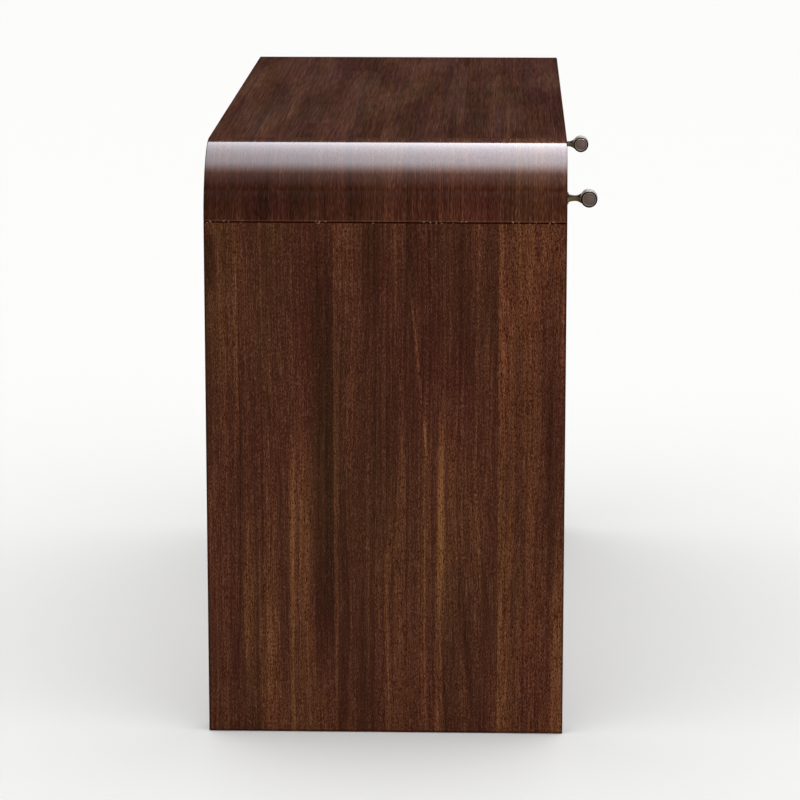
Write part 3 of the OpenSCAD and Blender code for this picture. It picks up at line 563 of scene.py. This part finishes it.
def zinc_plate(name, cool, warm, roughness, order):
    """Cold-rolled steel strip, zinc plated and passivated: a soft bright metal with rolling lines along it
    and faint warm clouds in the plate. The passive film scatters three tenths of the light."""
    metal = bpy.context.scene.fittings
    material, tree, shader = surface(name, Metallic=0.7)
    spot = board_place(tree, order)
    line_length, cloud_length, cloud_width = 80 * MM, 30 * MM, 12 * MM
    lines = streaks(tree, spot, line_length, metal.rolling_line, 3.0, 2, 0.6)
    clouds = streaks(tree, spot, cloud_length, cloud_width, 5.0, 2)
    cloudy = add(tree, "MapRange", {0: clouds, 1: 0.35, 2: 0.7})
    shade = add(tree, "Mix", {0: cloudy, 6: (*cool, 1), 7: (*warm, 1)}, data_type="RGBA")
    dull = [0.72 * value for value in cool]
    worn = add(tree, "MapRange", {0: lines, 1: 0.5, 2: 0.75, 3: 0.0, 4: 0.5})
    shade = add(tree, "Mix", {0: worn, 6: shade, 7: (*dull, 1)}, data_type="RGBA")
    rough = add(tree, "MapRange", {0: lines, 1: 0.3, 2: 0.7, 3: roughness - 0.06, 4: roughness + 0.08})
    bump = add(tree, "Bump", {"Strength": 0.3, "Distance": 0.02 * MM, "Height": lines})
    link(shader, Base_Color=shade, Roughness=rough, Normal=bump)
    return material


def ball_steel():
    """Chrome steel, ground and lapped: a bright mirror with a trace of oil smears."""
    metal = bpy.context.scene.fittings
    material, tree, shader = surface("chrome steel balls, lapped", Metallic=1.0)
    smears = spots(tree, 1.5 * MM, 2.0)
    rough = add(tree, "MapRange", {0: smears, 1: 0.4, 2: 0.7, 3: 0.05, 4: 0.14})
    oiled = [0.8 * value for value in metal.ball]
    shade = add(tree, "Mix", {0: smears, 6: (*metal.ball, 1), 7: (*oiled, 1)}, data_type="RGBA")
    link(shader, Base_Color=shade, Roughness=rough)
    return material


def nylon():
    """Nylon, injection moulded against an eroded tool: dull, with a fine even grit."""
    plastic = bpy.context.scene.fittings
    material, tree, shader = surface("nylon, moulded", IOR=1.53, Specular_IOR_Level=0.4)
    grit = spots(tree, 0.5 * MM, 2.0)
    scuffs = spots(tree, 6 * MM, 3.0)
    scuffed = [1.7 * value for value in plastic.nylon]
    shade = add(tree, "Mix", {0: scuffs, 6: (*plastic.nylon, 1), 7: (*scuffed, 1)}, data_type="RGBA")
    rough = add(tree, "MapRange", {0: grit, 1: 0.3, 2: 0.7, 3: 0.5, 4: 0.7})
    bump = add(tree, "Bump", {"Strength": 0.4, "Distance": 0.05 * MM, "Height": grit})
    link(shader, Base_Color=shade, Roughness=rough, Normal=bump)
    return material


def loose_solids(node):
    """The points of each separate solid in a CAD node."""
    work = bmesh.new()
    work.from_mesh(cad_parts[node].data)
    bmesh.ops.remove_doubles(work, verts=work.verts, dist=0.001 * MM)
    left = set(work.verts)
    solids = []
    while left:
        waiting = [left.pop()]
        found = []
        while waiting:
            point = waiting.pop()
            found.append(point.co.copy())
            for edge in point.link_edges:
                other = edge.other_vert(point)
                if other in left:
                    left.remove(other)
                    waiting.append(other)
        solids.append(found)
    work.free()
    return sorted(solids, key=lambda points: tuple(round(value, 5) for value in min(points)))


def measure_screw(points):
    """The screw whose plain solid has these points. Its place is the middle of its head's top."""
    low = Vector([min(p[i] for p in points) for i in range(3)])
    high = Vector([max(p[i] for p in points) for i in range(3)])
    span = high - low
    axis = max(range(3), key=lambda i: span[i])
    middle = (low + high) / 2

    def radius(point):
        off = point - middle
        off[axis] = 0
        return off.length

    def radius_at(end):
        return max(radius(p) for p in points if abs(p[axis] - end) < 0.01 * MM)

    head, tip = (low, high) if radius_at(low[axis]) > radius_at(high[axis]) else (high, low)
    head_radius = radius_at(head[axis])
    head_height = max(abs(p[axis] - head[axis]) for p in points if radius(p) > 0.99 * head_radius)
    head_top = middle.copy()
    head_top[axis] = head[axis]
    direction = Vector((0, 0, 0))
    direction[axis] = 1 if tip[axis] > head[axis] else -1
    return Screw(span[axis], head_radius, head_height, radius_at(tip[axis]), head_top, direction)


def screw_mesh(screw, pitch, depth, pointed):
    """A pan-head screw along +Z from the top of its head: turned head, cross recess and rolled thread."""
    around, crown_steps, shoulder_steps, thread_steps = 32, 6, 3, 6
    crown_height, shoulder_height = 0.35 * screw.head_height, 0.42 * screw.head_height
    crown_radius = 0.86 * screw.head_radius
    profile = []
    for i in range(1, crown_steps + 1):
        turn = QUARTER_TURN * i / crown_steps
        profile.append((0.9 * crown_height * (1 - math.cos(turn)), crown_radius * math.sin(turn)))
    for i in range(1, shoulder_steps + 1):
        share = i / shoulder_steps
        bulge = (screw.head_radius - crown_radius) * math.sin(QUARTER_TURN * share)
        profile.append((crown_height + shoulder_height * share, crown_radius + bulge))
    profile += [(screw.head_height, screw.head_radius), (screw.head_height, screw.shank_radius)]

    def row(z, radii):
        turns = [2 * math.pi * k / around for k in range(around)]
        return [(r * math.cos(turn), r * math.sin(turn), z) for r, turn in zip(radii, turns)]

    rows = [row(z, [radius] * around) for z, radius in profile]
    first = screw.head_height + 0.6 * pitch
    steps = int((screw.length - first) / pitch * thread_steps)
    tip_length = (3 if pointed else 0.4) * screw.shank_radius
    tip_share, ridge_width = 0.12, 0.28
    for step in range(steps + 1):
        z = first + (screw.length - first) * step / steps
        taper = min(1.0, tip_share + (1 - tip_share) * (screw.length - z) / tip_length)
        waves = [(z / pitch - k / around) % 1.0 for k in range(around)]
        ridges = [max(0.0, 1 - abs(wave - 0.5) / ridge_width) for wave in waves]
        rows.append(row(z, [(screw.shank_radius - depth * (1 - ridge)) * taper for ridge in ridges]))
    work = bmesh.new()
    rings = [[work.verts.new(point) for point in points] for points in rows]
    top = work.verts.new((0, 0, 0))
    end = work.verts.new((0, 0, screw.length))
    for k in range(around):
        n = (k + 1) % around
        work.faces.new((top, rings[0][n], rings[0][k]))
        work.faces.new((end, rings[-1][k], rings[-1][n]))
        for upper, lower in zip(rings, rings[1:]):
            work.faces.new((upper[k], upper[n], lower[n], lower[k]))
    blank = solid_mesh(work, "screw")
    return cut_cross(blank, 0.56 * screw.head_radius, 0.13 * screw.head_radius, 0.8 * screw.head_height)


def solid_mesh(work, name):
    """Turns the faces of a closed form outwards and makes it a mesh."""
    bmesh.ops.recalc_face_normals(work, faces=work.faces)
    mesh = bpy.data.meshes.new(name)
    work.to_mesh(mesh)
    work.free()
    return mesh


def cut_cross(mesh, reach, half_width, depth):
    """Cuts a cross recess, drawn in towards its bottom, into the top of a screw head."""
    def outline(arm, half, z):
        arms = [(arm, half), (half, half), (half, arm), (-half, arm), (-half, half), (-arm, half),
                (-arm, -half), (-half, -half), (-half, -arm), (half, -arm), (half, -half), (arm, -half)]
        return [(x, y, z) for x, y in arms]

    work = bmesh.new()
    upper = [work.verts.new(point) for point in outline(reach, half_width, -0.3 * depth)]
    lower = [work.verts.new(point) for point in outline(0.5 * reach, 0.6 * half_width, depth)]
    work.faces.new(upper)
    work.faces.new(lower[::-1])
    for k in range(len(upper)):
        n = (k + 1) % len(upper)
        work.faces.new((upper[n], upper[k], lower[k], lower[n]))
    screw = bpy.data.objects.new("screw blank", mesh)
    cutter = bpy.data.objects.new("recess", solid_mesh(work, "recess"))
    for made in (screw, cutter):
        bpy.context.scene.collection.objects.link(made)
    cut = screw.modifiers.new("recess", "BOOLEAN")
    cut.operation = "DIFFERENCE"
    cut.solver = "EXACT"
    cut.object = cutter
    result = bpy.data.meshes.new_from_object(screw.evaluated_get(bpy.context.evaluated_depsgraph_get()))
    for made in (screw, cutter):
        bpy.data.objects.remove(made)
    return result


def make_screws(node, body, pitch, pointed, finish):
    """Replaces a node of plain screws with turned and threaded ones in the same places."""
    work = bmesh.new()
    template = None
    for points in loose_solids(node):
        screw = measure_screw(points)
        if template is None:
            template = screw_mesh(screw, pitch, bpy.context.scene.fittings.thread_depth, pointed)
        before = len(work.verts)
        work.from_mesh(template)
        work.verts.ensure_lookup_table()
        turn = screw.direction.to_track_quat("Z", "Y").to_matrix().to_4x4()
        turn.translation = screw.place
        bmesh.ops.transform(work, matrix=turn, verts=work.verts[before:])
    mesh = bpy.data.meshes.new(node + "_threaded")
    work.to_mesh(mesh)
    work.free()
    mesh.shade_smooth()
    mesh.set_sharp_from_angle(angle=math.radians(35))
    mesh.materials.append(finish)
    piece = bpy.data.objects.new(node + "_threaded", mesh)
    bpy.context.scene.collection.objects.link(piece)
    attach(piece, body)
    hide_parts(node)


class DRESSING_OT_case(bpy.types.Operator):
    """Finishes the top, the rounded corners and the slab sides in walnut veneer."""
    bl_idname = "dressing.case"
    bl_label = "Waterfall case"

    def execute(self, context):
        top_leaves = [
            Leaf(83, 0.6, red=0.7),
            Leaf(132, 0.57, fade=0.06, red=0.7),
            Leaf(103, 0.63, fade=-0.05, red=0.7),
            Leaf(132, 0.61, red=0.7),
        ]
        corner_leaves = [
            Leaf(83, 0.52, red=0.9),
            Leaf(132, 0.6, fade=0.02, red=0.9),
            Leaf(103, 0.63, fade=0.03, red=0.9),
            Leaf(132, 0.7, fade=0.05, red=0.6),
        ]
        side_leaves = [
            Leaf(42, 0.47, fade=0.02),
            Leaf(118, 0.4, fade=0.08),
            Leaf(91, 0.5, fade=-0.06),
            Leaf(115, 0.42, fade=0.04),
            Leaf(84, 0.62, fade=-0.03, red=0.4, pores=0.6),
        ]
        edges = [sum(leaf.width for leaf in side_leaves[:i]) for i in range(1, len(side_leaves) + 1)]
        second, third, fourth, fifth = zip(edges, edges[1:])
        side_streaks = [
            Streak(38, 5, -60, 560, 0.16),
            Streak(7, 14, 5, 95, -0.3),
            Streak(90, 120, 230, 1030, 0.12, within=second),
            Streak(107, 8, 210, 760, 0.2),
            Streak(162, 60, -80, 640, -0.3, within=second),
            Streak(160, 9, -80, 900, 0.2, within=third),
            Streak(193, 18, -80, 420, -0.1),
            Streak(238, 4, -60, 150, 0.25),
            Streak(252, 26, -80, 300, -0.1, within=fourth),
            Streak(251, 3, 30, 330, 0.3, lean=0.1),
            Streak(276, 15, 190, 700, 0.2),
            Streak(293, 10, 170, 820, 0.26),
            Streak(322, 26, -80, 240, -0.1),
            Streak(310, 200, 200, 1000, 0.07, within=fourth),
            Streak(366, 14, -80, 900, 0.12, within=fifth),
            Streak(427, 24, 40, 480, -0.14),
            Streak(446, 9, -60, 900, 0.16),
            Streak(430, 60, 330, 1200, 0.18, within=fifth),
        ]
        top = walnut("walnut veneer on the top, rubbed lacquer", 3.0, leaves=top_leaves, bands=0.5, lines=0.8,
                     curl=0.25, wander=0.3, depth=0.7, stretch=20.0, broaden=1.3, coat=0.6, smudge=0.32)
        # The corners carry painted shade below their highlight
        corner = walnut("walnut veneer on the corners, gloss lacquer", 3.0, leaves=corner_leaves, bands=0.7,
                        lines=1.0, depth=0.8, stretch=2.5, corner_shade=0.34, seam=True)
        side = walnut("walnut veneer on the sides, gloss lacquer", 11.0, leaves=side_leaves,
                      streak_list=side_streaks, bands=0.8, lines=1.0, seam=True)
        paint(["top_panel"], top)
        paint(["corner_left", "corner_right"], corner)
        paint(["side_left", "side_right"], side)
        return {"FINISHED"}


class DRESSING_OT_inside(bpy.types.Operator):
    """Finishes the panel under the drawers, the back panel and the divider."""
    bl_idname = "dressing.inside"
    bl_label = "Inside of the case"

    def execute(self, context):
        boards = [("shelf", "shelf_panel", 21.0, LYING), ("back", "back_panel", 25.0, STANDING),
                  ("divider", "divider", 29.0, UPRIGHT)]
        for board, node, seed, order in boards:
            paint([node], walnut(f"walnut veneer on the {board}", seed, order))
        return {"FINISHED"}


class DRESSING_OT_fronts(bpy.types.Operator):
    """Finishes the two drawer fronts."""
    bl_idname = "dressing.fronts"
    bl_label = "Drawer fronts"

    def execute(self, context):
        front = walnut("walnut veneer on the drawer fronts", 33.0, STANDING)
        paint([f"front_{side}" for side in SIDES], front)
        return {"FINISHED"}


class DRESSING_OT_knobs(bpy.types.Operator):
    """Finishes the turned knobs and their rosettes."""
    bl_idname = "dressing.knobs"
    bl_label = "Knobs"

    def execute(self, context):
        paint([f"{part}_{side}" for part in ("knob", "rosette") for side in SIDES], bronze())
        return {"FINISHED"}


class DRESSING_OT_boxes(bpy.types.Operator):
    """Finishes the dovetailed drawer boxes in ash and their bottoms in birch plywood."""
    bl_idname = "dressing.boxes"
    bl_label = "Drawer boxes"

    def execute(self, context):
        boards = {"box_front": STANDING, "box_back": STANDING, "outer_wall": STANDING_DEEP,
                  "inner_wall": STANDING_DEEP}
        for seed, (board, order) in enumerate(boards.items(), start=2):
            finish = pale_wood(f"ash, planed, {board}", f"{board}_right", order, "ash", 60 * MM, seed)
            paint([f"{board}_{side}" for side in SIDES], finish)
        finish = pale_wood(
            "birch plywood, lacquered", "drawer_floor_right", LYING, "birch", 600 * MM, 9.0, roughness=0.35)
        paint([f"drawer_floor_{side}" for side in SIDES], finish)
        return {"FINISHED"}


class DRESSING_OT_joinery(bpy.types.Operator):
    """Finishes the loose tongues and the dowels in beech."""
    bl_idname = "dressing.joinery"
    bl_label = "Tongues and dowels"

    def execute(self, context):
        for made, node, order, seed in (("planed", "corner_tongues", LYING_DEEP, 14.0),
                                        ("turned", "case_dowels", LYING, 16.0)):
            paint([node], pale_wood(f"beech, {made}", node, order, "beech", 80 * MM, seed, 0.7, rays=0.25))
        return {"FINISHED"}


class DRESSING_OT_slides(bpy.types.Operator):
    """Finishes the ball slides: rolled members and cages, and their balls."""
    bl_idname = "dressing.slides"
    bl_label = "Ball slides"

    def execute(self, context):
        metal = context.scene.fittings
        member = zinc_plate("steel strip, zinc plated", metal.zinc, metal.zinc_warm, 0.34, STANDING_DEEP)
        cage = zinc_plate("steel cage, zinc plated", metal.zinc, metal.zinc, 0.42, STANDING_DEEP)
        ball = ball_steel()
        for side in SIDES:
            for wall in WALLS:
                paint([f"{kind}_member_{side}_{wall}" for kind in ("case", "middle", "drawer")], member)
                paint([f"{wall}_cages_{side}"], cage)
                paint([f"{wall}_balls_{side}"], ball)
        return {"FINISHED"}


class DRESSING_OT_screws(bpy.types.Operator):
    """Makes the screws and bolts, with cross recesses and threads, where the plain ones are."""
    bl_idname = "dressing.screws"
    bl_label = "Screws and bolts"

    def execute(self, context):
        metal = context.scene.fittings
        finish = zinc_plate("screw steel, zinc plated", metal.screw, metal.zinc, 0.3, LYING)
        for side in SIDES:
            drawer = f"{side}_drawer"
            for kind, body in (("case_slide", "case"), ("drawer_slide", drawer), ("front", drawer)):
                make_screws(f"{kind}_screws_{side}", body, metal.wood_thread, True, finish)
            make_screws(f"knob_bolt_{side}", drawer, metal.metal_thread, False, finish)
        return {"FINISHED"}


class DRESSING_OT_glides(bpy.types.Operator):
    """Finishes the four floor glides."""
    bl_idname = "dressing.glides"
    bl_label = "Floor glides"

    def execute(self, context):
        paint(["floor_glides"], nylon())
        return {"FINISHED"}


class DRESSING_OT_stage(bpy.types.Operator):
    """Makes the pale floor, the white surroundings and the softbox that only reflections show."""
    bl_idname = "dressing.stage"
    bl_label = "Stage"

    def execute(self, context):
        stage = context.scene.stage
        context.scene.view_settings.view_transform = "Standard"
        self.lay_floor(stage)
        self.light_world(stage)
        self.hang_softbox(stage)
        return {"FINISHED"}

    def sheet(self, name, reach, corners):
        """A flat sheet about the origin, with its corners in this order."""
        mesh = bpy.data.meshes.new(name)
        mesh.from_pydata([(reach * x, reach * y, 0) for x, y in corners], [], [(0, 1, 2, 3)])
        made = bpy.data.objects.new(name, mesh)
        bpy.context.scene.collection.objects.link(made)
        return made

    def lay_floor(self, stage):
        """A pale floor that runs out of sight. Lacquer and metal see it dark, as if dark cloth lay on it."""
        floor = self.sheet("floor", stage.floor_reach, [(-1, -1), (1, -1), (1, 1), (-1, 1)])
        material, tree, shader = surface("painted floor, matt", Roughness=0.9, Specular_IOR_Level=0.1)
        mirrored = add(tree, "LightPath").outputs["Is Glossy Ray"]
        pale, cloth = (*stage.floor, 1), (*stage.cloth, 1)
        link(shader, Base_Color=add(tree, "Mix", {0: mirrored, 6: pale, 7: cloth}, data_type="RGBA"))
        floor.data.materials.append(material)

    def light_world(self, stage):
        """White surroundings that light the case evenly. Lacquer and metal mirror a dim room in their place,
        which is brighter overhead and to both sides."""
        near_wall, far_wall, overhead, aside = 0.03, 0.04, 0.23, 0.3
        world = bpy.data.worlds.new("studio")
        bpy.context.scene.world = world
        world.use_nodes = True
        tree = world.node_tree
        x, y, z = add(tree, "SeparateXYZ", {0: add(tree, "TexCoord").outputs["Generated"]}).outputs
        ceiling = add(tree, "MapRange", {0: z, 1: 0.4, 2: 0.95, 3: 0.0, 4: overhead})
        walls = add(tree, "MapRange", {0: x, 1: -0.6, 2: 0.6, 3: near_wall, 4: far_wall})
        room = add(tree, "Math ADD", {0: ceiling, 1: walls})
        off = add(tree, "Math ABSOLUTE", {0: y})
        off = add(tree, "MapRange", {0: off, 1: 0.3, 2: 0.9, 4: aside}, interpolation_type="SMOOTHSTEP")
        room = add(tree, "Math ADD", {0: room, 1: off})
        mirrored = add(tree, "LightPath").outputs["Is Glossy Ray"]
        sky = tree.nodes["Background"]
        sky.inputs["Color"].default_value = (1, 1, 1, 1)
        link(sky, Strength=add(tree, "Mix", {0: mirrored, 2: 1.0, 3: room}))

    def hang_softbox(self, stage):
        """A glowing card that only mirrors see: a bright core, a dim warm skirt towards low x, and a fade
        towards the back."""
        radiance, length_x, length_y = 9.2, 4.8, 3.2
        made = self.sheet("softbox over the top", 0.5, [(-1, -1), (-1, 1), (1, 1), (1, -1)])
        made.location = (-0.4, 0.0, stage.box_height)
        made.scale = (length_x, length_y, 1)
        made.visible_camera = made.visible_diffuse = made.visible_shadow = False
        material = bpy.data.materials.new("softbox over the top")
        material.use_nodes = True
        tree = material.node_tree
        tree.nodes.clear()
        core_share, back_share = 0.87, 0.3
        x, y = add(tree, "SeparateXYZ", {0: add(tree, "TexCoord").outputs["Object"]}).outputs[:2]
        core = add(tree, "MapRange", {0: x, 1: -0.2, 2: 0.0, 4: core_share}, interpolation_type="SMOOTHSTEP")
        skirt = add(tree, "MapRange", {0: x, 1: -0.48, 2: -0.14, 4: 1 - core_share},
                    interpolation_type="SMOOTHSTEP")
        near = add(tree, "Math ADD", {0: core, 1: skirt})
        tint = add(tree, "Mix", {0: near, 6: (*stage.skirt, 1), 7: (*stage.softbox, 1)}, data_type="RGBA")
        back = add(tree, "MapRange", {0: y, 1: 0.3, 2: -0.1, 3: back_share * radiance, 4: radiance})
        near = add(tree, "Math MULTIPLY", {0: near, 1: back})
        glow = add(tree, "Emission", {0: tint, 1: near})
        add(tree, "OutputMaterial", {0: glow})
        made.data.materials.append(material)


class DRESSING_OT_camera(bpy.types.Operator):
    """Sets the camera beyond the table's left end, above its top and looking down along it."""
    bl_idname = "dressing.camera"
    bl_label = "Camera"

    def execute(self, context):
        stage = context.scene.stage
        camera = bpy.data.objects.new("camera", bpy.data.cameras.new("camera"))
        camera.data.lens = stage.camera_lens
        camera.data.sensor_width = 36
        camera.location = stage.camera_place
        camera.rotation_euler = (QUARTER_TURN - stage.camera_pitch, 0, stage.camera_yaw - QUARTER_TURN)
        context.scene.collection.objects.link(camera)
        context.scene.camera = camera
        return {"FINISHED"}


class DRESSING_PT_panel(bpy.types.Panel):
    """Lists the steps that finish the dressing table, and their settings."""
    bl_label = "Dressing Table"
    bl_space_type = "VIEW_3D"
    bl_region_type = "UI"
    bl_category = "Dressing Table"

    def draw(self, context):
        for operator in OPERATORS:
            self.layout.operator(operator.bl_idname)
        for group in SETTINGS:
            settings = getattr(context.scene, group)
            for key in settings.__annotations__:
                self.layout.prop(settings, key)


SETTINGS = {"walnut": WalnutSettings, "pale_woods": PaleWoodSettings, "fittings": FittingSettings,
            "stage": StageSettings}
OPERATORS = (DRESSING_OT_camera, DRESSING_OT_case, DRESSING_OT_inside, DRESSING_OT_fronts,
             DRESSING_OT_knobs, DRESSING_OT_boxes, DRESSING_OT_joinery, DRESSING_OT_slides,
             DRESSING_OT_screws, DRESSING_OT_glides, DRESSING_OT_stage)
CLASSES = (*SETTINGS.values(), *OPERATORS, DRESSING_PT_panel)


def register():
    for cls in CLASSES:
        bpy.utils.register_class(cls)
    for key, group in SETTINGS.items():
        setattr(bpy.types.Scene, key, PointerProperty(type=group))


def unregister():
    for key in SETTINGS:
        delattr(bpy.types.Scene, key)
    for cls in reversed(CLASSES):
        bpy.utils.unregister_class(cls)


def main():
    register()
    for operator in OPERATORS:
        step = operator.bl_idname.split(".")[1]
        getattr(bpy.ops.dressing, step)()


if __name__ == "__main__":
    main()
